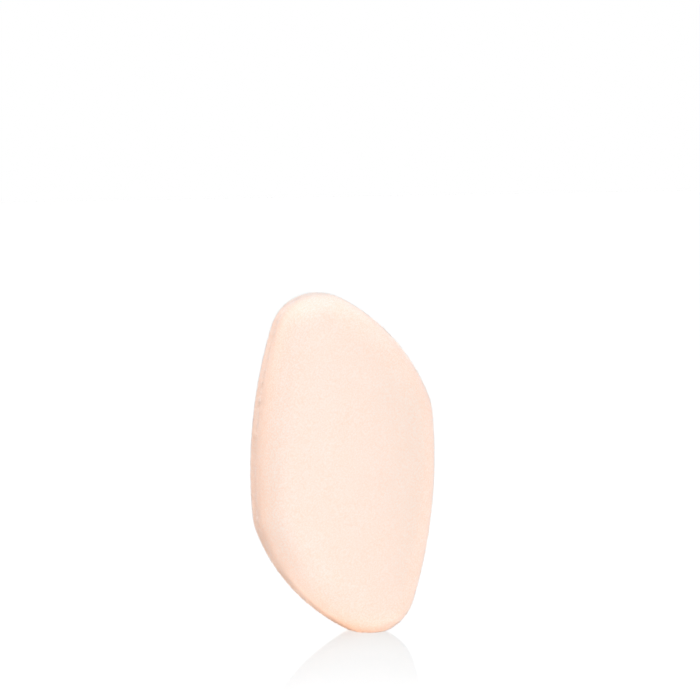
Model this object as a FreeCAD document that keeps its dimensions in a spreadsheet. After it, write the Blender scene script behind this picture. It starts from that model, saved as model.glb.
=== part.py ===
import FreeCAD
import Part
import Sketcher
import math
import os

# Makeup sponge: two flocked foam halves bonded face to face, with a fine seam round the edge.
# Millimetres. +Z is up along the length, X is across the width and Y is through the thickness.
# The front faces -Y, and the origin is under the middle, on the surface that the tip stands on.

DIMENSIONS = {
    # Outline, seen from the front
    "length": 80.0,  # tip to tip, before the lower tip is pressed flat
    "width": 42.8,  # over the bowed long sides
    "end_radius": 10.8,  # round of the upper left and the lower right end
    "end_inset": 4.8,  # from the widest point of a side in to the round of its end
    "shoulder_radius": 14.0,  # round of the upper right and the lower left shoulder
    "shoulder_drop": 29.3,  # from a tip along the length to the middle of the shoulder's round
    "slant_radius": 45.0,  # bow of the slanting sides
    "side_radius": 115.0,  # bow of the long sides
    # Thickness and crown
    "thickness": 20.0,  # over the crowns, before they are pressed flat
    "crown_across_radius": 160.0,  # crown over the width
    "crown_along_radius": 520.0,  # crown over the length
    "edge_radius": 6.5,  # round between a face and the side wall
    # Layers
    "pile_depth": 0.8,
    "adhesive_coat": 0.2,
    "film_thickness": 0.25,
    "rim_radius": 0.6,  # round of the pile beside the seam
    # Flats that the pile takes where the sponge rests
    "foot_depth": 0.5,
    "rest_depth": 0.2,
}
CROWN_SWEEP = 60.0  # degrees that the crown's profile is turned through, more than the length needs

doc = FreeCAD.newDocument("makeup_sponge")
sizes = doc.addObject("Spreadsheet::Sheet", "sizes")
for row, (alias, value) in enumerate(DIMENSIONS.items(), start=1):
    sizes.set(f"A{row}", alias)
    sizes.set(f"B{row}", str(value))
    sizes.setAlias(f"B{row}", alias)
doc.recompute()

PILE_LEVEL = []
ADHESIVE_LEVEL = ["pile_depth"]
FOAM_LEVEL = ["pile_depth", "adhesive_coat"]


def size(alias):
    return float(sizes.get(alias))


def inset_value(level):
    return sum(size(alias) for alias in level)


def less_inset(expression, level):
    """Expression for a size that shrinks by the layers outside a level."""
    return " - ".join([expression] + [f"sizes.{alias}" for alias in level])


def origin_plane(body, role):
    return next(feature for feature in body.Origin.OriginFeatures if feature.Role == role)


def add_body(name):
    """Body whose own origin is the middle of the outline."""
    body = doc.addObject("PartDesign::Body", name)
    body.setExpression("Placement.Base.z", "sizes.length / 2 - sizes.foot_depth")
    return body


def add_sketch(body, name, role, offset="0"):
    sketch = body.newObject("Sketcher::SketchObject", name)
    sketch.AttachmentSupport = [(origin_plane(body, role), "")]
    sketch.MapMode = "FlatFace"
    sketch.setExpression("AttachmentOffset.Base.z", offset)
    return sketch


def add_size(sketch, name, expression, *constraint):
    """Dimension of a sketch that follows the sheet."""
    index = sketch.addConstraint(Sketcher.Constraint(*constraint))
    sketch.renameConstraint(index, name)
    sketch.setExpression(f"Constraints.{name}", expression)


def outline_arcs(level):
    """Middle, radius and two end angles of the arcs of half the outline, counter-clockwise."""
    end = FreeCAD.Vector(
        size("end_radius") + size("end_inset") - size("width") / 2,
        size("length") / 2 - size("end_radius"),
    )
    reach_end = size("side_radius") - size("end_radius")
    side_x = size("width") / 2 - size("side_radius")
    side = FreeCAD.Vector(side_x, math.sqrt(reach_end**2 - (side_x + end.x) ** 2) - end.y)
    reach_shoulder = size("side_radius") - size("shoulder_radius")
    shoulder_z = size("length") / 2 - size("shoulder_drop")
    shoulder_x = side.x + math.sqrt(reach_shoulder**2 - (shoulder_z - side.y) ** 2)
    shoulder = FreeCAD.Vector(shoulder_x, shoulder_z)

    # The slant's circle holds the rounds of the end and the shoulder inside it and touches both
    to_shoulder = shoulder - end
    gap = to_shoulder.Length
    from_end = size("slant_radius") - size("end_radius")
    from_shoulder = size("slant_radius") - size("shoulder_radius")
    along = (from_end**2 - from_shoulder**2 + gap**2) / (2 * gap)
    unit = to_shoulder / gap
    inward = FreeCAD.Vector(unit.y, -unit.x)
    slant = end + unit * along + inward * math.sqrt(from_end**2 - along**2)

    def facing(inner, outer):
        return math.atan2(outer.y - inner.y, outer.x - inner.x)

    side_start = facing(side, end * -1)
    shoulder_start = facing(side, shoulder)
    slant_start = facing(slant, shoulder)
    end_start = facing(slant, end)
    inset = inset_value(level)
    return [
        (side, size("side_radius") - inset, side_start, shoulder_start),
        (shoulder, size("shoulder_radius") - inset, shoulder_start, slant_start),
        (slant, size("slant_radius") - inset, slant_start, end_start),
        (end, size("end_radius") - inset, end_start, side_start + math.pi),
    ]


def add_outline(body, name, level, offset="0"):
    """Outline of tangent arcs that is the same after half a turn, inset to a level."""
    sketch = add_sketch(body, name, "XZ_Plane", offset)
    normal = FreeCAD.Vector(0, 0, 1)
    half = outline_arcs(level)
    for turn in (0.0, math.pi):
        for middle, radius, start, stop in half:
            placed = middle if turn == 0.0 else middle * -1
            circle = Part.Circle(placed, normal, radius)
            sketch.addGeometry(Part.ArcOfCircle(circle, start + turn, stop + turn))

    side, shoulder, slant, end = range(4)
    start_point, stop_point, middle_point = 1, 2, 3
    sheet_origin = (-1, 1)
    for arc in range(4):
        sketch.addConstraint(Sketcher.Constraint("Tangent", arc, stop_point, arc + 1, start_point))
    for arc in range(4):
        twin = arc + 4
        for point in (start_point, stop_point):
            sketch.addConstraint(Sketcher.Constraint("Symmetric", arc, point, twin, point, *sheet_origin))
        sketch.addConstraint(Sketcher.Constraint("Equal", arc, twin))

    for arc, alias in enumerate(("side_radius", "shoulder_radius", "slant_radius", "end_radius")):
        add_size(sketch, alias, less_inset(f"sizes.{alias}", level), "Radius", arc, half[arc][1])
    end_x = -half[end][0].x
    end_z = half[end][0].y
    add_size(sketch, "end_across", "sizes.width / 2 - sizes.end_radius - sizes.end_inset",
             "DistanceX", end, middle_point, *sheet_origin, end_x)
    add_size(sketch, "end_along", "sizes.length / 2 - sizes.end_radius",
             "DistanceY", *sheet_origin, end, middle_point, end_z)
    add_size(sketch, "side_across", "sizes.side_radius - sizes.width / 2",
             "DistanceX", side, middle_point, *sheet_origin, -half[side][0].x)
    add_size(sketch, "shoulder_along", "sizes.length / 2 - sizes.shoulder_drop",
             "DistanceY", *sheet_origin, shoulder, middle_point, half[shoulder][0].y)
    return sketch


def add_crown_profile(body, name, level):
    """What lies in front of the crowned face, in the plane across the width, with its turning axis."""
    sketch = add_sketch(body, name, "XY_Plane")
    radius = size("crown_across_radius") - inset_value(level)
    middle_y = size("crown_across_radius") - size("thickness") / 2
    axis_y = size("crown_along_radius") - size("thickness") / 2
    reach_x = size("width")
    front_y = -size("thickness")
    half_angle = math.asin(reach_x / radius)
    arc_y = middle_y - radius * math.cos(half_angle)
    circle = Part.Circle(FreeCAD.Vector(0, middle_y), FreeCAD.Vector(0, 0, 1), radius)
    arc_left = FreeCAD.Vector(-reach_x, arc_y)
    arc_right = FreeCAD.Vector(reach_x, arc_y)
    front_left = FreeCAD.Vector(-reach_x, front_y)
    front_right = FreeCAD.Vector(reach_x, front_y)
    axis_left = FreeCAD.Vector(-reach_x, axis_y)
    axis_right = FreeCAD.Vector(reach_x, axis_y)

    foremost = -math.pi / 2
    crown = sketch.addGeometry(Part.ArcOfCircle(circle, foremost - half_angle, foremost + half_angle))
    right = sketch.addGeometry(Part.LineSegment(arc_right, front_right))
    front = sketch.addGeometry(Part.LineSegment(front_right, front_left))
    left = sketch.addGeometry(Part.LineSegment(front_left, arc_left))
    axis = sketch.addGeometry(Part.LineSegment(axis_right, axis_left), True)

    ring = [crown, right, front, left]
    for first, second in zip(ring, ring[1:] + ring[:1]):
        sketch.addConstraint(Sketcher.Constraint("Coincident", first, 2, second, 1))
    for line in (right, left):
        sketch.addConstraint(Sketcher.Constraint("Vertical", line))
    for line in (front, axis):
        sketch.addConstraint(Sketcher.Constraint("Symmetric", line, 1, line, 2, -2))
        add_size(sketch, f"line_{line}_reach", "2 * sizes.width", "DistanceX", line, 2, line, 1, 2 * reach_x)
    sketch.addConstraint(Sketcher.Constraint("PointOnObject", crown, 3, -2))
    add_size(sketch, "crown_radius", less_inset("sizes.crown_across_radius", level), "Radius", crown, radius)
    add_size(sketch, "crown_middle", "sizes.crown_across_radius - sizes.thickness / 2",
             "DistanceY", -1, 1, crown, 3, middle_y)
    add_size(sketch, "axis_place", "sizes.crown_along_radius - sizes.thickness / 2",
             "DistanceY", -1, 1, axis, 1, axis_y)
    add_size(sketch, "front_place", "sizes.thickness", "DistanceY", front, 1, -1, 1, -front_y)
    return sketch


def add_rectangle(body, name, role, offset, across, along):
    """Rectangle centred on the body's origin, for the flats."""
    sketch = add_sketch(body, name, role, offset)
    half_x = size(across) / 2
    half_y = size(along) / 2
    corners = [(-half_x, -half_y), (half_x, -half_y), (half_x, half_y), (-half_x, half_y)]
    points = [FreeCAD.Vector(*corner) for corner in corners]
    for first, second in zip(points, points[1:] + points[:1]):
        sketch.addGeometry(Part.LineSegment(first, second))
    for line in range(4):
        sketch.addConstraint(Sketcher.Constraint("Coincident", line, 2, (line + 1) % 4, 1))
    for line in (0, 2):
        sketch.addConstraint(Sketcher.Constraint("Horizontal", line))
    for line in (1, 3):
        sketch.addConstraint(Sketcher.Constraint("Vertical", line))
    sketch.addConstraint(Sketcher.Constraint("Symmetric", 0, 1, 1, 2, -1, 1))
    add_size(sketch, "across", f"sizes.{across}", "DistanceX", 0, 1, 0, 2, 2 * half_x)
    add_size(sketch, "along", f"sizes.{along}", "DistanceY", 1, 1, 1, 2, 2 * half_y)
    return sketch


def edge_names(shape, wanted):
    return [
        f"Edge{number}"
        for number, edge in enumerate(shape.Edges, start=1)
        if any(edge.isSame(other) for other in wanted)
    ]


def face_edges(shape, surface_kind):
    return [edge for face in shape.Faces if isinstance(face.Surface, surface_kind) for edge in face.Edges]


def require_cut(before, after):
    """A cut that points away from the solid leaves its volume as it was."""
    if after.Shape.Volume >= before.Shape.Volume - 1e-6:
        raise RuntimeError(f"{after.Label} cuts nothing")


def add_round(body, name, base, surface_kind, radius):
    """Round of the edges of the faces of one kind."""
    doc.recompute()
    rounded = body.newObject("PartDesign::Fillet", name)
    rounded.Base = (base, edge_names(base.Shape, face_edges(base.Shape, surface_kind)))
    rounded.setExpression("Radius", radius)
    doc.recompute()
    return rounded


def add_front_form(name, level):
    """Front half of the sponge at one level: flat at the seam, crowned in front, rounded between."""
    body = add_body(name)
    outline = add_outline(body, f"{name}_outline", level, "sizes.film_thickness / 2")
    block = body.newObject("PartDesign::Pad", f"{name}_block")
    block.Profile = outline
    depth = less_inset("sizes.thickness / 2 - sizes.film_thickness / 2", level)
    block.setExpression("Length", depth)
    crown_profile = add_crown_profile(body, f"{name}_crown_profile", level)
    crown = body.newObject("PartDesign::Groove", f"{name}_crown")
    crown.Profile = crown_profile
    crown.ReferenceAxis = (crown_profile, ["Axis0"])
    crown.Angle = CROWN_SWEEP
    crown.Midplane = True
    doc.recompute()
    require_cut(block, crown)
    edge_radius = less_inset("sizes.edge_radius", level)
    return body, add_round(body, f"{name}_edge", crown, Part.Toroid, edge_radius)


def add_flat(body, name, base, role, offset, across, along, outward):
    """Flat that the pile takes where the sponge rests."""
    flat = body.newObject("PartDesign::Pocket", name)
    flat.Profile = add_rectangle(body, f"{name}_outline", role, offset, across, along)
    flat.Type = "ThroughAll"
    flat.Reversed = outward
    doc.recompute()
    require_cut(base, flat)
    return flat


def add_layer(name, outside, inside):
    """Layer between two forms."""
    layer = doc.addObject("Part::Cut", name)
    layer.Base = outside
    layer.Tool = inside
    return layer


def add_back(name, front):
    """The back half's piece is the front one's image in the seam plane."""
    image = doc.addObject("Part::Mirroring", name)
    image.Source = front
    image.Normal = FreeCAD.Vector(0, 1, 0)
    return image


# Foam, adhesive and pile of the front half, each inside the next
front_foam, _ = add_front_form("front_foam", FOAM_LEVEL)
adhesive_form, _ = add_front_form("adhesive_form", ADHESIVE_LEVEL)
pile_form, pile_edge = add_front_form("pile_form", PILE_LEVEL)
pile_rim = add_round(pile_form, "pile_rim", pile_edge, Part.Plane, "sizes.rim_radius")
pile_foot = add_flat(pile_form, "pile_foot", pile_rim, "XY_Plane",
                     "sizes.foot_depth - sizes.length / 2", "width", "thickness", False)
pile_rest = add_flat(pile_form, "pile_rest", pile_foot, "XZ_Plane",
                     "sizes.thickness / 2 - sizes.rest_depth", "width", "length", True)
front_flock_adhesive = add_layer("front_flock_adhesive", adhesive_form, front_foam)
front_flock = add_layer("front_flock", pile_form, adhesive_form)

# Film that bonds the halves, out to the foot of the pile
bond_film = add_body("bond_film")
film_block = bond_film.newObject("PartDesign::Pad", "bond_film_block")
film_block.Profile = add_outline(bond_film, "bond_film_outline", ADHESIVE_LEVEL)
film_block.SideType = "Symmetric"
film_block.setExpression("Length", "sizes.film_thickness")

# Back half
back_foam = add_back("back_foam", front_foam)
back_flock_adhesive = add_back("back_flock_adhesive", front_flock_adhesive)
back_flock = add_back("back_flock", front_flock)

pieces = [front_flock, front_flock_adhesive, front_foam, bond_film, back_foam, back_flock_adhesive, back_flock]
doc.recompute()
for item in doc.Objects:
    if "Invalid" in item.State or "Error" in item.State:
        raise RuntimeError(f"{item.Label} failed: {item.State}")
for piece in pieces:
    if piece.Shape.isNull() or not piece.Shape.isValid():
        raise RuntimeError(f"{piece.Label} has no valid shape")
    if len(piece.Shape.Solids) != 1:
        raise RuntimeError(f"{piece.Label} is not one solid")

os.makedirs("parts", exist_ok=True)
for piece in pieces:
    piece.Shape.exportStep(f"parts/{piece.Label}.step")
    print(f"{piece.Label}: {piece.Shape.Volume:.1f} mm3")
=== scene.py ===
import math

import bmesh
import bpy
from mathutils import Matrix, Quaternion, Vector, noise


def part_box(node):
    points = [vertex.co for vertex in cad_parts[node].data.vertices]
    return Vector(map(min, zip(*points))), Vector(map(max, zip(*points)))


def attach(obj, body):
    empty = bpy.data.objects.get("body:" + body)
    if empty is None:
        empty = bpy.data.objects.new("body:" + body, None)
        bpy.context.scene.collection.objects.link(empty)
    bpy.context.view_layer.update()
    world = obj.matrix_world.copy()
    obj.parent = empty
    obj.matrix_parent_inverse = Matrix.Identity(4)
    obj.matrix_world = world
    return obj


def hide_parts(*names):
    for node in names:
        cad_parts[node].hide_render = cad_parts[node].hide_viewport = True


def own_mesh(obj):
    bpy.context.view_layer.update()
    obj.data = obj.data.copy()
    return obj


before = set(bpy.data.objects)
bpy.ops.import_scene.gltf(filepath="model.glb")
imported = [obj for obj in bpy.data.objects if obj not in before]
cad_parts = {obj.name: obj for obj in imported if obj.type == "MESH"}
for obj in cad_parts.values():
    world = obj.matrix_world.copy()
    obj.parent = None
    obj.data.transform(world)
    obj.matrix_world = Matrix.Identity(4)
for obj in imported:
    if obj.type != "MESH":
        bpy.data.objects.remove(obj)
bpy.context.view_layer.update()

# Sizes of the sponge, in metres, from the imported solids
front_low, front_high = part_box("front_flock")
film_low, film_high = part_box("bond_film")
FOOT_DEPTH = 0.0005
REST_DEPTH = 0.0002
WIDTH = front_high.x - front_low.x
LENGTH = front_high.z - front_low.z + FOOT_DEPTH
HALF_THICKNESS = REST_DEPTH - front_low.y
SEAM_FACE = film_high.y
MIDDLE_Z = LENGTH / 2 - FOOT_DEPTH

# Outline and crown
END_ROUND = 0.0108
END_INSET = 0.0048
SHOULDER_ROUND = 0.014
SHOULDER_DROP = 0.0293
SLANT_BOW = 0.045
SIDE_BOW = 0.115
CROWN_ACROSS = 0.160
CROWN_ALONG = 0.520
EDGE_ROUND = 0.0065

# Layers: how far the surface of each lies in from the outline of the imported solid
PILE_BED = 0.0001
ADHESIVE_TOP = 0.0008
FOAM_TOP = 0.0010

# Lips of the skins, which close over the film's edge
RIM_ROUND = 0.0002
LIP_FACE = 0.00002
FILM_INSET = (WIDTH - film_high.x + film_low.x) / 2
FILM_ROOM = 0.00005
LIP_SHARE = 0.9
SEAM_REACH = 0.0010

# Unevenness of the skins, and their creases and swells along the seam
UNEVEN_DEPTH = 0.00012
UNEVEN_SIZE = 0.003
PUCKER_FRONT = 0.00012
PUCKER_BACK = 0.00034
PUCKER_MOST = 0.00015
PUCKER_SIZE = 0.0014
PUCKER_REACH = 0.0025
SWELL_SIZE = 5 * PUCKER_SIZE
SWELL_ROW = 3.0

# Fibres of the pile, and the tufts in which they lean together
FIBRE_SIDES = 3
FIBRE_LENGTH = 0.00036
FIBRE_WIDTH = 0.00007
FIBRE_SHORTEST = 0.6
FIBRE_TALLEST = 1.1
FIBRES_PER_M2 = 10.0e6
ROOTED = 0.5
LEAN_LEAST = (-0.5, -0.5, -0.6)
LEAN_MOST = (0.5, 0.5, 0.4)
TUFT_SIZE = 0.0007
TUFT_DETAIL = 1.0
TUFT_LEAN = 2.4

# Tufts along the seam, their paler colour a painted highlight: how much taller and closer they stand, and
# how they clump
SEAM_TALLER = 0.3
SEAM_TUFTS = 2.0
SEAM_TUFT_SIZE = 0.0022
SEAM_TUFT_DETAIL = 0.0
TUFT_RANGE = (0.45, 0.6)
CLUMP_DETAIL = 2.0
CLUMP_RANGE = (0.4, 0.6)

# Halves: name, side of the seam and seed of the random draws
HALVES = [
    ("front", -1.0, 100),
    ("back", 1.0, 200),
]
LEAN_SEED = 10
HEIGHT_SEED = 20

# Rings of the meshes, and how the slope of the crown is found
STATIONS = 480
RIM_RINGS = 4
WALL_RINGS = 4
EDGE_RINGS = 9
FACE_RINGS = 16
CAP_RINGS = 8
SMOOTH_ANGLE = math.radians(40.0)
SLOPE_STEP = 0.001
SLOPE_ROUNDS = 4

# Finish of the pile
FLOCK_PALE = (0.945, 0.82, 0.72)
FLOCK_PEACH = (0.945, 0.77, 0.647)
FLOCK_DEEP = (0.945, 0.72, 0.573)
# Painted highlight: paler colours for the clumps of the bed and the tufts along the seam, standing in for
# tufts that catch the light and making up for the shade that the dense fibres cast
SEAM_HIGHLIGHT = (0.98, 0.85, 0.77)
TUFT_HIGHLIGHT = (0.98, 0.87, 0.80)
FLOCK_SHEEN = 0.3
SHEEN_ROUGHNESS = 0.35
SHEEN_TINT = (1.0, 0.96, 0.95)
GRAIN_SIZE = 0.0003
GRAIN_DETAIL = 2.0
GRAIN_STRETCH = 0.7
GRAIN_LIE = math.radians(-45.0)
GRAIN_RANGE = (0.25, 0.75)
GRAIN_RELIEF = 0.3
GRAIN_DEPTH = 0.0001
CLOUD_SIZE = 0.006
CLOUD_DETAIL = 1.0
CLOUD_SHARE = 0.15
EDGE_GRAIN = 0.13
EDGE_GRAIN_REACH = 0.009

# Kinds of fibre, the last of them for the tufts along the seam, which are painted paler as a highlight
FIBRE_COLOURS = [
    ("fibre_pale", FLOCK_PALE),
    ("fibre_peach", FLOCK_PEACH),
    ("fibre_rose", FLOCK_DEEP),
    ("fibre_tuft", TUFT_HIGHLIGHT),
]

# Finish of the layers inside
ADHESIVE_COLOUR = (0.9, 0.76, 0.66)
ADHESIVE_ROUGHNESS = 0.5
FOAM_COLOUR = (0.92, 0.78, 0.68)
FOAM_ROUGHNESS = 0.9
FILM_COLOUR = (0.8, 0.6, 0.5)
FILM_ROUGHNESS = 0.6
INNER_SPECULAR = 0.2

# The photograph's frame
FRAME_PIXELS = 700
PIXELS_PER_METRE = 4278.0
SPONGE_PIXEL = (341.8, 463.4)
CAMERA_YAW = math.radians(-18.0)
CAMERA_RISE = math.radians(5.0)
CAMERA_ROLL = math.radians(0.38)
LENS = 250.0
SENSOR = 36.0
TO_CAMERA = Vector((math.sin(CAMERA_YAW), -math.cos(CAMERA_YAW), 0.0))

# Table: what the camera sees of it, its mirror image of the sponge and its light on the sponge
FLOOR_SIZE = 6.0
TABLE_WHITE = (0.85, 0.85, 0.85)
TABLE_SHADE = (0.08, 0.08, 0.08)
TABLE_GLOW = 0.96
SHADOW_REACH = (0.05, 0.15)
MIRRORED_WHITE = 2.0
MIRROR_TINT = (0.50, 0.43, 0.43)
MIRROR_ROUGHNESS = 0.02
MIRROR_SHARE = 0.33
MIRROR_REACH = 0.165
UNDERGLOW = (0.58, 0.42, 0.34)
UNDERGLOW_MIDDLE = (-0.004, 0.008, 0.0)
UNDERGLOW_REACH = (0.010, 0.032)

# Light from the white surroundings behind the sponge
BACKDROP_LIGHT = (0.45, 0.30, 0.25)
BACKDROP_SPREAD = (0.2, 0.9)

# Soft lamps: azimuth from the camera, rise, colour and power
LAMP_REACH = 0.8
LAMP_SIZE = 0.3
LAMPS = [
    ("back_left_low", -115.0, 8.0, (1.00, 0.58, 0.36), 1.35),
    ("left_low", -75.0, 8.0, (1.00, 0.45, 0.09), 1.03),
    ("right", 60.0, 8.0, (1.00, 0.97, 0.98), 1.24),
    ("right_side", 90.0, 8.0, (1.00, 0.81, 0.70), 2.30),
    ("back_right", 130.0, 8.0, (0.65, 0.76, 1.00), 1.87),
    ("back_left_high", -120.0, 65.0, (0.92, 0.93, 1.00), 2.35),
    ("left_high", -50.0, 65.0, (0.81, 0.91, 1.00), 3.07),
    ("top", 0.0, 82.0, (0.66, 0.83, 1.00), 1.55),
]

# Soft oval spot on the front face
SPOT_TARGET = (-0.014, -0.010, 0.036)
SPOT_AZIMUTH = 5.0
SPOT_RISE = 12.0
SPOT_REACH = 0.6
SPOT_RADIUS = 0.065
SPOT_TALLNESS = 3.0
SPOT_SOFTNESS = 0.05
SPOT_COLOUR = (0.92, 0.95, 1.00)
SPOT_POWER = 7.60


def outline_arcs():
    """Middle, radius and end angles of the arcs of half the outline, counter-clockwise."""
    end = Vector((END_ROUND + END_INSET - WIDTH / 2, LENGTH / 2 - END_ROUND))
    side_x = WIDTH / 2 - SIDE_BOW
    side_z = math.sqrt((SIDE_BOW - END_ROUND) ** 2 - (side_x + end.x) ** 2) - end.y
    side = Vector((side_x, side_z))
    shoulder_z = LENGTH / 2 - SHOULDER_DROP
    shoulder_x = side.x + math.sqrt((SIDE_BOW - SHOULDER_ROUND) ** 2 - (shoulder_z - side.y) ** 2)
    shoulder = Vector((shoulder_x, shoulder_z))
    from_end = SLANT_BOW - END_ROUND
    from_shoulder = SLANT_BOW - SHOULDER_ROUND
    gap = (shoulder - end).length
    unit = (shoulder - end) / gap
    along = (from_end**2 - from_shoulder**2 + gap**2) / (2 * gap)
    inward = Vector((unit.y, -unit.x))
    slant = end + unit * along + inward * math.sqrt(from_end**2 - along**2)

    def facing(inner, outer):
        return math.atan2(outer.y - inner.y, outer.x - inner.x)

    side_start = facing(side, -end)
    shoulder_start = facing(side, shoulder)
    slant_start = facing(slant, shoulder)
    end_start = facing(slant, end)
    return [
        (side, SIDE_BOW, side_start, shoulder_start),
        (shoulder, SHOULDER_ROUND, shoulder_start, slant_start),
        (slant, SLANT_BOW, slant_start, end_start),
        (end, END_ROUND, end_start, side_start + math.pi),
    ]


def outline_stations():
    """Points evenly along the outline, as seen from the front, with their outward directions."""
    half = outline_arcs()
    arcs = list(half)
    for middle, radius, start, stop in half:
        arcs.append((-middle, radius, start + math.pi, stop + math.pi))
    lengths = [radius * (stop - start) for _, radius, start, stop in arcs]
    step = sum(lengths) / STATIONS
    stations = []
    for number in range(STATIONS):
        travelled = number * step
        place = travelled
        for (middle, radius, start, _), length in zip(arcs, lengths):
            if place <= length:
                break
            place -= length
        angle = start + place / radius
        outward = Vector((math.cos(angle), math.sin(angle)))
        stations.append((middle + outward * radius, outward, travelled))
    return stations


OUTLINE = outline_stations()


def crown_depth(point, inset):
    """Depth of the crowned face in front of the seam plane, over a point of the outline's plane."""
    across = CROWN_ACROSS - inset
    arc = math.sqrt(across**2 - point.x**2) + CROWN_ALONG - CROWN_ACROSS
    return math.sqrt(arc**2 - point.y**2) - (CROWN_ALONG - HALF_THICKNESS)


def pucker(travelled, side):
    """How far the edge is drawn in at the seam: irregular small creases and lumps along the outline."""
    crease = noise.noise(Vector((travelled / PUCKER_SIZE, 0.0, 0.0)))
    swell = noise.noise(Vector((travelled / SWELL_SIZE, 0.0, SWELL_ROW)))
    depth = PUCKER_BACK if side > 0 else PUCKER_FRONT
    return min(depth * crease * (1.0 + swell), PUCKER_MOST)


def half_section(number, side, inset, rim):
    """Section of a half at one station, from the seam to the middle of the face: points with depth."""
    point, outward, travelled = OUTLINE[number]
    radius = EDGE_ROUND - inset
    drawn_in = pucker(travelled, side) if rim else 0.0

    def at(inward, depth):
        near_seam = max(0.0, 1.0 - (depth - SEAM_FACE) / PUCKER_REACH)
        flat = point - outward * (inward + drawn_in * near_seam**2)
        return Vector((flat.x, depth, flat.y))

    # Where the edge's round meets the crown, from the crown's slope there
    tilt = 0.0
    for _ in range(SLOPE_ROUNDS):
        meet = inset + radius * (1 - math.sin(tilt))
        inner = point - outward * (meet + SLOPE_STEP)
        outer = point - outward * meet
        slope = (crown_depth(inner, inset) - crown_depth(outer, inset)) / SLOPE_STEP
        tilt = math.atan(slope)
    round_depth = crown_depth(outer, inset) - radius * math.cos(tilt)

    section = []
    seam_face = SEAM_FACE
    if rim:
        # The lip closes over the film's edge, and its rim is round
        seam_face = LIP_FACE
        flat = point - outward * (FILM_INSET - FILM_ROOM)
        section.append(Vector((flat.x, SEAM_FACE, flat.y)))
        for ring in range(RIM_RINGS + 1):
            turn = ring / RIM_RINGS * math.pi / 2
            inward = inset + rim * (1 - math.sin(turn))
            section.append(at(inward, seam_face + rim * (1 - math.cos(turn))))
    wall_start = seam_face + rim
    first = 1 if rim else 0
    for ring in range(first, WALL_RINGS):
        section.append(at(inset, wall_start + (round_depth - wall_start) * ring / WALL_RINGS))
    for ring in range(EDGE_RINGS + 1):
        turn = ring / EDGE_RINGS * (math.pi / 2 - tilt)
        inward = inset + radius * (1 - math.cos(turn))
        section.append(at(inward, round_depth + radius * math.sin(turn)))
    for ring in range(1, FACE_RINGS):
        flat = outer * (1 - ring / FACE_RINGS)
        section.append(Vector((flat.x, crown_depth(flat, inset), flat.y)))
    return section


def seam_cap(number, inset):
    """Flat face at the seam, from its middle out to the wall."""
    point, outward, _ = OUTLINE[number]
    edge = point - outward * inset
    cap = []
    for ring in range(1, CAP_RINGS):
        flat = edge * (ring / CAP_RINGS)
        cap.append(Vector((flat.x, SEAM_FACE, flat.y)))
    return cap


def ring_stack(sections):
    """Turns a list of sections, one for each station, into a list of rings."""
    return [list(ring) for ring in zip(*sections)]


def start_ring():
    """Circle with a vertex for each station, in edit mode and selected."""
    bpy.ops.object.select_all(action="DESELECT")
    bpy.ops.mesh.primitive_circle_add(vertices=STATIONS, radius=WIDTH / 2, fill_type="NOTHING")
    bpy.ops.object.mode_set(mode="EDIT")
    bpy.ops.mesh.select_all(action="SELECT")
    mesh = bmesh.from_edit_mesh(bpy.context.object.data)
    station = mesh.verts.layers.int.new("station")
    for number, vertex in enumerate(mesh.verts):
        vertex[station] = number
    for name in ("pile_root", "near_seam", "near_edge"):
        mesh.verts.layers.float.new(name)
    bmesh.update_edit_mesh(bpy.context.object.data)
    return bpy.context.object


def place_ring(piece, ring, side, root):
    """Moves the selected ring of vertices to its place on one side of the seam."""
    mesh = bmesh.from_edit_mesh(piece.data)
    station = mesh.verts.layers.int["station"]
    pile_root = mesh.verts.layers.float["pile_root"]
    near_seam = mesh.verts.layers.float["near_seam"]
    near_edge = mesh.verts.layers.float["near_edge"]
    for vertex in mesh.verts:
        if vertex.select:
            x, depth, z = ring[vertex[station]]
            inward = (OUTLINE[vertex[station]][0] - Vector((x, z))).length
            vertex.co = (x, side * depth, max(z + MIDDLE_Z, 0.0))
            vertex[pile_root] = root
            vertex[near_seam] = min(max(0.0, 1.0 - (depth - SEAM_FACE) / SEAM_REACH), 1.0)
            vertex[near_edge] = max(0.0, 1.0 - inward / EDGE_GRAIN_REACH)
    bmesh.update_edit_mesh(piece.data)


def add_stack(name, rings, side, rooted_from):
    """Closed form over a stack of rings, with a pole at each end."""
    piece = start_ring()
    piece.name = name
    piece.data.name = name
    for number, ring in enumerate(rings):
        if number:
            bpy.ops.mesh.extrude_region()
        place_ring(piece, ring, side, 1.0 if number >= rooted_from else 0.0)
    bpy.ops.mesh.merge(type="CENTER")
    bpy.ops.mesh.select_all(action="DESELECT")
    mesh = bmesh.from_edit_mesh(piece.data)
    for edge in mesh.edges:
        if edge.is_boundary:
            edge.select_set(True)
    bmesh.update_edit_mesh(piece.data)
    bpy.ops.mesh.merge(type="CENTER")
    bpy.ops.mesh.select_all(action="SELECT")
    bpy.ops.mesh.normals_make_consistent(inside=False)
    bpy.ops.object.mode_set(mode="OBJECT")
    bpy.ops.object.shade_smooth_by_angle(angle=SMOOTH_ANGLE)
    return piece


def add_layer(name, side, outer_inset, inner_inset, rim):
    """Half shell: its inner face, its rim at the seam and its outer face."""
    inner = [half_section(number, side, inner_inset, 0.0) for number in range(STATIONS)]
    outer = [half_section(number, side, outer_inset, rim) for number in range(STATIONS)]
    inner_rings = ring_stack(inner)[::-1]
    rings = inner_rings + ring_stack(outer)
    lip_rings = 1 if rim else 0
    return add_stack(name, rings, side, len(inner_rings) + lip_rings)


def add_foam(name, side):
    """Solid half of the core: its flat face at the seam and its outer face."""
    cap = ring_stack([seam_cap(number, FOAM_TOP) for number in range(STATIONS)])
    form = ring_stack([half_section(number, side, FOAM_TOP, 0.0) for number in range(STATIONS)])
    return add_stack(name, cap + form, side, len(cap))


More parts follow.
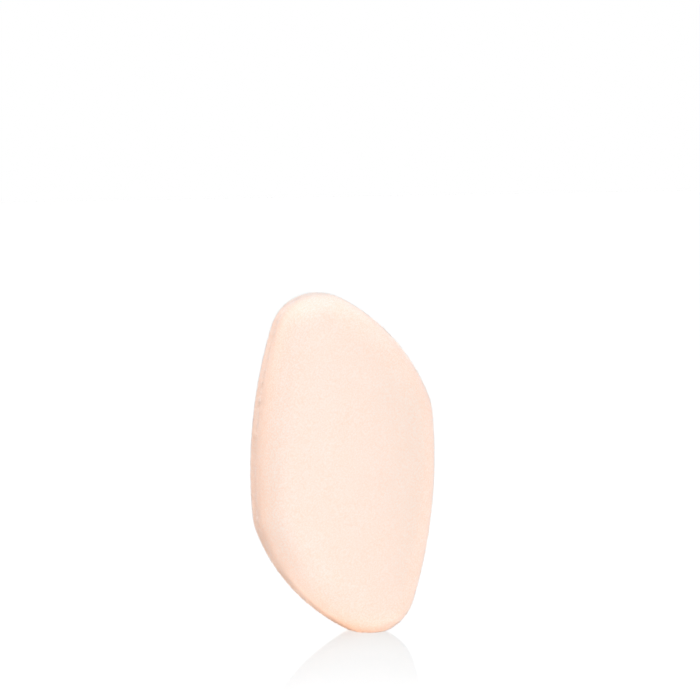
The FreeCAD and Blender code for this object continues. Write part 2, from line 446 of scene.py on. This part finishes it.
def add_fibre(name, material):
    """One fibre of the pile: a closed three-sided needle, standing on its root."""
    bpy.ops.object.select_all(action="DESELECT")
    bpy.ops.mesh.primitive_cone_add(
        vertices=FIBRE_SIDES,
        radius1=FIBRE_WIDTH / 2,
        radius2=0.0,
        depth=FIBRE_LENGTH,
        location=(0, 0, FIBRE_LENGTH / 2),
    )
    bpy.ops.object.transform_apply()
    fibre = bpy.context.object
    fibre.name = name
    fibre.data.materials.append(material)
    bpy.ops.object.shade_smooth()
    return fibre


def press_foot(piece):
    """Keeps a piece on the table, flat at the foot."""
    for vertex in piece.data.vertices:
        vertex.co.z = max(vertex.co.z, 0.0)


def unsettle(skin):
    """Makes the pile's bed a little uneven towards its edge, as soft foam is."""
    group = skin.vertex_groups.new(name="bed")
    roots = skin.data.attributes["pile_root"].data
    edges = skin.data.attributes["near_edge"].data
    for vertex in skin.data.vertices:
        if roots[vertex.index].value > ROOTED:
            group.add([vertex.index], edges[vertex.index].value, "REPLACE")
    clouds = bpy.data.textures.new("foam_unevenness", "CLOUDS")
    clouds.noise_scale = UNEVEN_SIZE
    clouds.noise_depth = 1
    bpy.ops.object.select_all(action="DESELECT")
    bpy.context.view_layer.objects.active = skin
    bpy.ops.object.modifier_add(type="DISPLACE")
    displace = skin.modifiers[-1]
    displace.texture = clouds
    displace.texture_coords = "LOCAL"
    displace.strength = UNEVEN_DEPTH
    displace.mid_level = 0.5
    displace.vertex_group = group.name
    bpy.ops.object.modifier_apply(modifier=displace.name)
    skin.vertex_groups.clear()
    press_foot(skin)


def opaque(colour):
    """Colour with full alpha."""
    return (*colour, 1.0)


def feed(tree, socket, value):
    """Links another node's output to a socket, or sets the socket to a constant."""
    if isinstance(value, bpy.types.NodeSocket):
        tree.links.new(value, socket)
    else:
        socket.default_value = value


def add_node(tree, kind, **values):
    """Node of a kind, with values for its named inputs."""
    node = tree.nodes.new(kind)
    for name, value in values.items():
        feed(tree, node.inputs[name], value)
    return node


def feed_all(tree, node, values):
    """Feeds the inputs of a node in their order."""
    for socket, value in zip(node.inputs, values):
        feed(tree, socket, value)


def combine(tree, kind, *values):
    """First output of a node of a kind, with values for its inputs in their order."""
    node = tree.nodes.new(kind)
    feed_all(tree, node, values)
    return node.outputs[0]


def add_math(tree, operation, *values):
    """Result of a sum on numbers."""
    node = tree.nodes.new("ShaderNodeMath")
    node.operation = operation
    feed_all(tree, node, values)
    return node.outputs[0]


def add_vector_math(tree, operation, *values):
    """Node with a sum on vectors."""
    node = tree.nodes.new("ShaderNodeVectorMath")
    node.operation = operation
    feed_all(tree, node, values)
    return node


def add_range(tree, value, source, target=(0.0, 1.0)):
    """A value that is moved from one range to another."""
    node = add_node(tree, "ShaderNodeMapRange", Value=value)
    for name, limit in zip(("From Min", "From Max", "To Min", "To Max"), (*source, *target)):
        feed(tree, node.inputs[name], limit)
    return node.outputs["Result"]


def add_noise(tree, place, size, detail):
    """Noise texture of a size in metres."""
    return add_node(tree, "ShaderNodeTexNoise", Vector=place, Scale=1.0 / size, Detail=detail)


def add_mix(tree, share, first, second):
    """Mix of two colours."""
    node = tree.nodes.new("ShaderNodeMix")
    node.data_type = "RGBA"
    feed(tree, node.inputs["Factor"], share)
    feed(tree, node.inputs["A"], first)
    feed(tree, node.inputs["B"], second)
    return node.outputs["Result"]


def add_random(tree, kind, least, most, seed):
    """Random value for each fibre."""
    node = tree.nodes.new("FunctionNodeRandomValue")
    node.data_type = kind
    node.inputs["Min"].default_value = least
    node.inputs["Max"].default_value = most
    node.inputs["Seed"].default_value = seed
    return node.outputs["Value"]


def planted_value(tree, name):
    """Value that the pile's bed carries, for geometry nodes."""
    node = tree.nodes.new("GeometryNodeInputNamedAttribute")
    node.data_type = "FLOAT"
    node.inputs["Name"].default_value = name
    return node.outputs["Attribute"]


def painted_value(tree, name):
    """Value that the pile's bed carries, for a material."""
    node = tree.nodes.new("ShaderNodeAttribute")
    node.attribute_name = name
    return node.outputs["Fac"]


def scatter_tree(fibres, seed):
    """Geometry nodes that plant leaning fibres over the pile's bed, the last kind at the seam only."""
    tree = bpy.data.node_groups.new("pile_scatter", "GeometryNodeTree")
    tree.interface.new_socket("Geometry", in_out="INPUT", socket_type="NodeSocketGeometry")
    tree.interface.new_socket("Geometry", in_out="OUTPUT", socket_type="NodeSocketGeometry")
    nodes = tree.nodes
    bed = nodes.new("NodeGroupInput").outputs["Geometry"]
    pile = nodes.new("NodeGroupOutput")
    root = planted_value(tree, "pile_root")
    seam = planted_value(tree, "near_seam")
    place = nodes.new("GeometryNodeInputPosition").outputs["Position"]
    taller = add_math(tree, "MULTIPLY_ADD", seam, SEAM_TALLER, 1.0)
    tuft = add_noise(tree, place, TUFT_SIZE, TUFT_DETAIL).outputs["Color"]

    # Density of each kind of fibre
    kinds = len(fibres) - 1
    density = add_math(tree, "MULTIPLY", root, FIBRES_PER_M2 / kinds)
    clump = add_noise(tree, place, SEAM_TUFT_SIZE, SEAM_TUFT_DETAIL).outputs["Fac"]
    gather = add_range(tree, clump, TUFT_RANGE, (0.0, SEAM_TUFTS))
    crowd = add_math(tree, "MULTIPLY", gather, seam)
    tufted = add_math(tree, "MULTIPLY", density, crowd)
    densities = [density] * kinds + [tufted]

    join = nodes.new("GeometryNodeJoinGeometry")
    for number, fibre in enumerate(fibres):
        spread = add_node(
            tree,
            "GeometryNodeDistributePointsOnFaces",
            Mesh=bed,
            Density=densities[number],
            Seed=seed + number,
        )
        lean = add_random(tree, "FLOAT_VECTOR", LEAN_LEAST, LEAN_MOST, seed + LEAN_SEED + number)
        widen = (TUFT_LEAN, TUFT_LEAN, TUFT_LEAN)
        centre = (-TUFT_LEAN / 2, -TUFT_LEAN / 2, -TUFT_LEAN / 2)
        drawn = add_vector_math(tree, "MULTIPLY_ADD", tuft, widen, centre)
        tilt = add_vector_math(tree, "ADD", lean, drawn.outputs["Vector"])
        way = add_vector_math(tree, "ADD", spread.outputs["Normal"], tilt.outputs["Vector"])
        turn = add_node(tree, "FunctionNodeAlignRotationToVector", Vector=way.outputs["Vector"])
        turn.axis = "Z"
        tall = add_random(tree, "FLOAT", FIBRE_SHORTEST, FIBRE_TALLEST, seed + HEIGHT_SEED + number)
        single = add_node(tree, "GeometryNodeObjectInfo", Object=fibre)
        plant = add_node(
            tree,
            "GeometryNodeInstanceOnPoints",
            Points=spread.outputs["Points"],
            Instance=single.outputs["Geometry"],
            Rotation=turn.outputs["Rotation"],
            Scale=add_math(tree, "MULTIPLY", tall, taller),
        )
        feed(tree, join.inputs["Geometry"], plant.outputs["Instances"])
    real = add_node(tree, "GeometryNodeRealizeInstances", Geometry=join.outputs["Geometry"])
    feed(tree, pile.inputs["Geometry"], real.outputs["Geometry"])
    return tree


def duplicate(piece):
    """Copy of a piece, active and selected."""
    bpy.ops.object.select_all(action="DESELECT")
    piece.select_set(True)
    bpy.context.view_layer.objects.active = piece
    bpy.ops.object.duplicate()
    return bpy.context.object


def add_shell(skin):
    """The open outer face of a skin, without its lip at the seam and its inner face."""
    shell = duplicate(skin)
    mesh = bmesh.new()
    mesh.from_mesh(shell.data)
    pile_root = mesh.verts.layers.float["pile_root"]
    near_seam = mesh.verts.layers.float["near_seam"]
    hidden = []
    for vertex in mesh.verts:
        if vertex[pile_root] < ROOTED or vertex[near_seam] > LIP_SHARE:
            hidden.append(vertex)
    bmesh.ops.delete(mesh, geom=hidden, context="VERTS")
    mesh.to_mesh(shell.data)
    mesh.free()
    return shell


def add_pile(name, skin, fibres, seed):
    """The pile of one half: fibres planted on its skin and shaded as its outer face, flat at the foot."""
    shell = add_shell(skin)
    pile = duplicate(skin)
    pile.name = name
    pile.data.name = name
    scatter = pile.modifiers.new("scatter", "NODES")
    scatter.node_group = scatter_tree(fibres, seed)
    bpy.ops.object.modifier_apply(modifier="scatter")
    press_foot(pile)
    soften = pile.modifiers.new("soften", "DATA_TRANSFER")
    soften.object = shell
    soften.use_loop_data = True
    soften.data_types_loops = {"CUSTOM_NORMAL"}
    soften.loop_mapping = "POLYINTERP_NEAREST"
    bpy.ops.object.modifier_apply(modifier="soften")
    bpy.data.objects.remove(shell)
    return pile


def new_material(name, colour, roughness, specular):
    """Plain finish."""
    material = bpy.data.materials.new(name)
    material.use_nodes = True
    shader = material.node_tree.nodes["Principled BSDF"]
    shader.inputs["Base Color"].default_value = opaque(colour)
    shader.inputs["Roughness"].default_value = roughness
    shader.inputs["Specular IOR Level"].default_value = specular
    return material


def flock_material(name, colour):
    """Matt pile with a faint sheen."""
    material = new_material(name, colour, 1.0, 0.0)
    shader = material.node_tree.nodes["Principled BSDF"]
    shader.inputs["Sheen Weight"].default_value = FLOCK_SHEEN
    shader.inputs["Sheen Roughness"].default_value = SHEEN_ROUGHNESS
    shader.inputs["Sheen Tint"].default_value = opaque(SHEEN_TINT)
    return material


def flock_grain():
    """Node group: the mottling of the pile, in fine streaks along its lie and in broad clouds."""
    group = bpy.data.node_groups.new("flock_grain", "ShaderNodeTree")
    group.interface.new_socket("Grain", in_out="OUTPUT", socket_type="NodeSocketFloat")
    group.interface.new_socket("Clouds", in_out="OUTPUT", socket_type="NodeSocketFloat")
    place = group.nodes.new("ShaderNodeTexCoord").outputs["Object"]
    lie = add_node(group, "ShaderNodeMapping", Vector=place, Rotation=(0.0, GRAIN_LIE, 0.0))
    stretch = (1.0, 1.0, GRAIN_STRETCH)
    streak = add_node(group, "ShaderNodeMapping", Vector=lie.outputs["Vector"], Scale=stretch)
    fine = add_noise(group, streak.outputs["Vector"], GRAIN_SIZE, GRAIN_DETAIL)
    broad = add_noise(group, place, CLOUD_SIZE, CLOUD_DETAIL)
    add_node(group, "NodeGroupOutput", Grain=fine.outputs["Fac"], Clouds=broad.outputs["Fac"])
    return group


def flock_bed_material():
    """Bed of the pile: mottled, most of all towards its edge, with paler clumps at the seam painted as a
    highlight.
    """
    material = flock_material("flock_bed", FLOCK_PEACH)
    tree = material.node_tree
    shader = tree.nodes["Principled BSDF"]
    grain = tree.nodes.new("ShaderNodeGroup")
    grain.node_tree = flock_grain()
    fine = grain.outputs["Grain"]

    # Mottling
    mottle = add_math(tree, "MULTIPLY_ADD", grain.outputs["Clouds"], CLOUD_SHARE, fine)
    edge = painted_value(tree, "near_edge")
    limits = []
    for limit, narrowing in zip(GRAIN_RANGE, (EDGE_GRAIN, -EDGE_GRAIN)):
        limits.append(add_math(tree, "MULTIPLY_ADD", edge, narrowing, limit + CLOUD_SHARE / 2))
    spread = add_range(tree, mottle, limits)
    tint = add_mix(tree, spread, opaque(FLOCK_DEEP), opaque(FLOCK_PALE))

    # Painted highlight: paler clumps along the seam, for tufts that catch the light
    place = tree.nodes.new("ShaderNodeTexCoord").outputs["Object"]
    clump = add_noise(tree, place, SEAM_TUFT_SIZE, CLUMP_DETAIL).outputs["Fac"]
    gather = add_range(tree, clump, CLUMP_RANGE)
    tufted = add_math(tree, "MULTIPLY", gather, painted_value(tree, "near_seam"))
    highlit_tint = add_mix(tree, tufted, tint, opaque(SEAM_HIGHLIGHT))

    relief = add_node(tree, "ShaderNodeBump", Strength=GRAIN_RELIEF, Distance=GRAIN_DEPTH, Height=fine)
    feed(tree, shader.inputs["Base Color"], highlit_tint)
    feed(tree, shader.inputs["Normal"], relief.outputs["Normal"])
    return material


def table_material():
    """White table: white to the camera, with the sponge's faint shadow and a mirror image that fades."""
    material = bpy.data.materials.new("white_table")
    material.use_nodes = True
    tree = material.node_tree
    tree.nodes.clear()
    path = tree.nodes.new("ShaderNodeLightPath")
    place = tree.nodes.new("ShaderNodeTexCoord").outputs["Object"]

    # What lights the sponge: the matt table and a glow beside the foot
    matt = combine(tree, "ShaderNodeBsdfDiffuse", opaque(TABLE_WHITE))
    beside = add_vector_math(tree, "DISTANCE", place, UNDERGLOW_MIDDLE)
    dim = add_range(tree, beside.outputs["Value"], UNDERGLOW_REACH, (1.0, 0.0))
    underglow = combine(tree, "ShaderNodeEmission", opaque(UNDERGLOW), dim)
    bounce = combine(tree, "ShaderNodeAddShader", matt, underglow)

    # What the camera sees: white with a shadow, and a mirror image that fades towards the camera
    away = add_vector_math(tree, "LENGTH", place)
    whiten = add_range(tree, away.outputs["Value"], SHADOW_REACH, (TABLE_GLOW, 1.0))
    glow = add_node(tree, "ShaderNodeEmission", Strength=whiten).outputs[0]
    shade = combine(tree, "ShaderNodeBsdfDiffuse", opaque(TABLE_SHADE))
    mirror = combine(tree, "ShaderNodeBsdfGlossy", opaque(MIRROR_TINT), MIRROR_ROUGHNESS)
    rest_of_white = [1 - MIRRORED_WHITE * part for part in MIRROR_TINT]
    rest = combine(tree, "ShaderNodeEmission", opaque(rest_of_white))
    image = combine(tree, "ShaderNodeAddShader", mirror, rest)
    ahead = add_vector_math(tree, "DOT_PRODUCT", place, TO_CAMERA)
    fade = add_range(tree, ahead.outputs["Value"], (0.0, MIRROR_REACH), (MIRROR_SHARE, 0.0))
    polish = combine(tree, "ShaderNodeMixShader", fade, glow, image)
    seen = combine(tree, "ShaderNodeAddShader", polish, shade)

    whole = combine(tree, "ShaderNodeMixShader", path.outputs["Is Camera Ray"], bounce, seen)
    add_node(tree, "ShaderNodeOutputMaterial", Surface=whole)
    return material


def studio_world():
    """White surroundings for the camera and the mirror; for the sponge, light from the backdrop only."""
    world = bpy.data.worlds.new("studio")
    world.use_nodes = True
    tree = world.node_tree
    nodes = tree.nodes
    path = nodes.new("ShaderNodeLightPath")
    glossy = path.outputs["Is Glossy Ray"]
    mirrored = add_node(tree, "ShaderNodeMix", Factor=glossy, A=1.0, B=MIRRORED_WHITE)
    white = nodes["Background"]
    feed(tree, white.inputs["Color"], (1.0, 1.0, 1.0, 1.0))
    feed(tree, white.inputs["Strength"], mirrored.outputs["Result"])
    place = nodes.new("ShaderNodeTexCoord").outputs["Generated"]
    behind = add_vector_math(tree, "DOT_PRODUCT", place, -TO_CAMERA)
    spread = add_range(tree, behind.outputs["Value"], BACKDROP_SPREAD)
    backdrop = combine(tree, "ShaderNodeBackground", opaque(BACKDROP_LIGHT), spread)
    seen = add_math(tree, "MAXIMUM", path.outputs["Is Camera Ray"], glossy)
    around = combine(tree, "ShaderNodeMixShader", seen, backdrop, white.outputs[0])
    feed(tree, nodes["World Output"].inputs["Surface"], around)
    return world


def way_to(azimuth, rise):
    """Direction towards a lamp; its azimuth is measured from the camera, to the right."""
    turn = CAMERA_YAW + math.radians(azimuth)
    lift = math.radians(rise)
    return Vector((math.sin(turn) * math.cos(lift), -math.cos(turn) * math.cos(lift), math.sin(lift)))


def add_lamp(name, azimuth, rise, colour, power):
    """Square soft lamp that faces the middle of the sponge."""
    way = way_to(azimuth, rise)
    bpy.ops.object.light_add(type="AREA", location=Vector((0, 0, MIDDLE_Z)) + way * LAMP_REACH)
    lamp = bpy.context.object
    lamp.name = name
    lamp.rotation_euler = way.to_track_quat("Z", "Y").to_euler()
    lamp.data.size = LAMP_SIZE
    lamp.data.color = colour
    lamp.data.energy = power


def add_spot():
    """Soft oval spot on the middle of the front face, so that the light falls off to both sides."""
    way = way_to(SPOT_AZIMUTH, SPOT_RISE)
    bpy.ops.object.light_add(type="SPOT", location=Vector(SPOT_TARGET) + way * SPOT_REACH)
    spot = bpy.context.object
    spot.name = "face_spot"
    spot.rotation_euler = way.to_track_quat("Z", "Y").to_euler()
    spot.scale = (1.0, SPOT_TALLNESS, 1.0)
    spot.data.spot_size = 2 * math.atan(SPOT_RADIUS / SPOT_REACH)
    spot.data.spot_blend = 1.0
    spot.data.shadow_soft_size = SPOT_SOFTNESS
    spot.data.color = SPOT_COLOUR
    spot.data.energy = SPOT_POWER


def dress(piece, material, body):
    """Gives a soft piece its finish and its body; the pile keeps its fibres' finish."""
    if material:
        piece.data.materials.clear()
        piece.data.materials.append(material)
    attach(piece, body)
    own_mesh(piece)


# Soft halves
bed_finish = flock_bed_material()
adhesive_finish = new_material("flock_adhesive", ADHESIVE_COLOUR, ADHESIVE_ROUGHNESS, INNER_SPECULAR)
foam_finish = new_material("foam", FOAM_COLOUR, FOAM_ROUGHNESS, INNER_SPECULAR)
fibres = [add_fibre(name, flock_material(name, colour)) for name, colour in FIBRE_COLOURS]
for half, side, seed in HALVES:
    body = f"{half}_half"
    skin = add_layer(f"{half}_skin", side, PILE_BED, ADHESIVE_TOP, RIM_ROUND - PILE_BED)
    unsettle(skin)
    pile = add_pile(f"{half}_pile", skin, fibres, seed)
    dress(pile, None, body)
    dress(skin, bed_finish, body)
    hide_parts(f"{half}_flock")
    adhesive = add_layer(f"{half}_adhesive", side, ADHESIVE_TOP, FOAM_TOP, 0.0)
    dress(adhesive, adhesive_finish, body)
    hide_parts(f"{half}_flock_adhesive")
    foam = add_foam(f"{half}_core", side)
    dress(foam, foam_finish, body)
    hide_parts(f"{half}_foam")
for fibre in fibres:
    bpy.data.objects.remove(fibre)

# Film between the halves
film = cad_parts["bond_film"]
film.data.materials.clear()
film.data.materials.append(new_material("bond_film", FILM_COLOUR, FILM_ROUGHNESS, INNER_SPECULAR))

# Floor and light
scene = bpy.context.scene
scene.view_settings.view_transform = "Standard"
bpy.ops.object.select_all(action="DESELECT")
bpy.ops.mesh.primitive_plane_add(size=FLOOR_SIZE)
floor = bpy.context.object
floor.name = "floor"
floor.data.materials.append(table_material())
scene.world = studio_world()
for name, azimuth, rise, colour, power in LAMPS:
    add_lamp(name, azimuth, rise, colour, power)
add_spot()

# Camera
camera = bpy.data.objects.new("camera", bpy.data.cameras.new("camera"))
scene.collection.objects.link(camera)
scene.camera = camera
camera.data.lens = LENS
camera.data.sensor_width = SENSOR
middle = Vector((0, 0, MIDDLE_Z))
distance = LENS / SENSOR * FRAME_PIXELS / PIXELS_PER_METRE
back = Vector((
    math.sin(CAMERA_YAW) * math.cos(CAMERA_RISE),
    -math.cos(CAMERA_YAW) * math.cos(CAMERA_RISE),
    math.sin(CAMERA_RISE),
))
right = Vector((math.cos(CAMERA_YAW), math.sin(CAMERA_YAW), 0))
up = back.cross(right)
camera.location = middle + back * distance
aim_right = (FRAME_PIXELS / 2 - SPONGE_PIXEL[0]) / PIXELS_PER_METRE
aim_up = (SPONGE_PIXEL[1] - FRAME_PIXELS / 2) / PIXELS_PER_METRE
target = middle + right * aim_right + up * aim_up
aim = (target - camera.location).to_track_quat("-Z", "Y")
camera.rotation_euler = (aim @ Quaternion((0, 0, 1), -CAMERA_ROLL)).to_euler()
